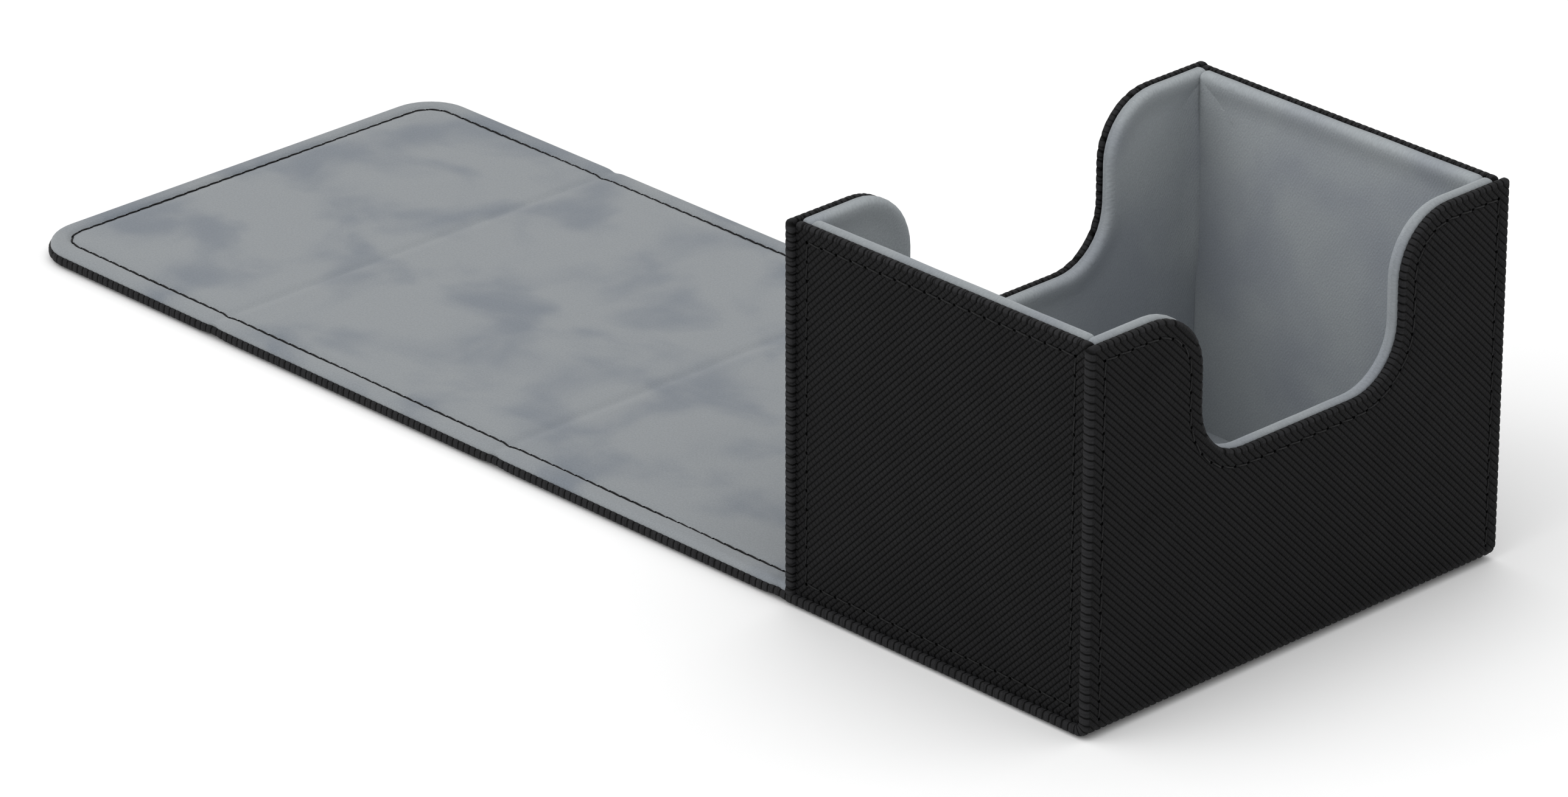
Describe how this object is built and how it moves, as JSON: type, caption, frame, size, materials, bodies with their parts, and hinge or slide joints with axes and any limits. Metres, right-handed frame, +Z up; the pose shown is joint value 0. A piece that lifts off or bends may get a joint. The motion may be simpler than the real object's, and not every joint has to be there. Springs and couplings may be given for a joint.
{
  "type": "card deck box",
  "caption": "Open side-loading flip case for a deck of sleeved cards: a lined tray with thumb cut-outs and a folding cover that closes over it on hidden magnets.",
  "frame": {"origin": "middle of the underside of the tray, on the surface that the case stands on", "axes": "+X out of the tray's front wall, with the opened cover towards -X; +Y across the width; +Z up"},
  "size_m": [0.2844, 0.104, 0.0734],
  "materials": {
    "skin": "black synthetic leather pressed with fine diagonal ribs",
    "lining": "grey brushed microfibre over thin padding",
    "board": "uncoated greyboard",
    "thread": "black polyester sewing thread",
    "magnet": "nickel-plated disc magnet"
  },
  "bodies": {
    "tray": {"base_skin": "skin", "front_wall_skin": "skin", "back_wall_skin": "skin", "left_wall_skin": "skin", "right_wall_skin": "skin", "rear_fold_skin": "skin", "base_board": "board", "front_wall_board": "board", "back_wall_board": "board", "left_wall_board": "board", "right_wall_board": "board", "floor_lining": "lining", "front_wall_lining": "lining", "back_wall_lining": "lining", "left_wall_lining": "lining", "right_wall_lining": "lining", "rear_fold_lining": "lining", "front_wall_stitching": "thread", "back_wall_stitching": "thread", "left_wall_stitching": "thread", "right_wall_stitching": "thread", "tray_magnets": "magnet"},
    "back_panel": {"back_panel_skin": "skin", "top_fold_skin": "skin", "back_panel_board": "board", "back_panel_lining": "lining", "top_fold_lining": "lining", "back_panel_stitching": "thread"},
    "top_panel": {"top_panel_skin": "skin", "front_fold_skin": "skin", "top_panel_board": "board", "top_panel_lining": "lining", "front_fold_lining": "lining", "top_panel_stitching": "thread"},
    "closing_flap": {"closing_flap_skin": "skin", "closing_flap_board": "board", "closing_flap_lining": "lining", "closing_flap_stitching": "thread", "flap_magnets": "magnet"}
  },
  "joints": [
    {"name": "rear_fold_hinge", "type": "hinge", "parent": "tray", "child": "back_panel", "pos_m": [-0.03935, 0, 0.0017], "axis": [0, 1, 0], "range_deg": [0, 90]},
    {"name": "top_fold_hinge", "type": "hinge", "parent": "back_panel", "child": "top_panel", "pos_m": [-0.11375, 0, 0.0017], "axis": [0, 1, 0], "range_deg": [0, 90]},
    {"name": "front_fold_hinge", "type": "hinge", "parent": "top_panel", "child": "closing_flap", "pos_m": [-0.19245, 0, 0.0017], "axis": [0, 1, 0], "range_deg": [0, 90]}
  ]
}
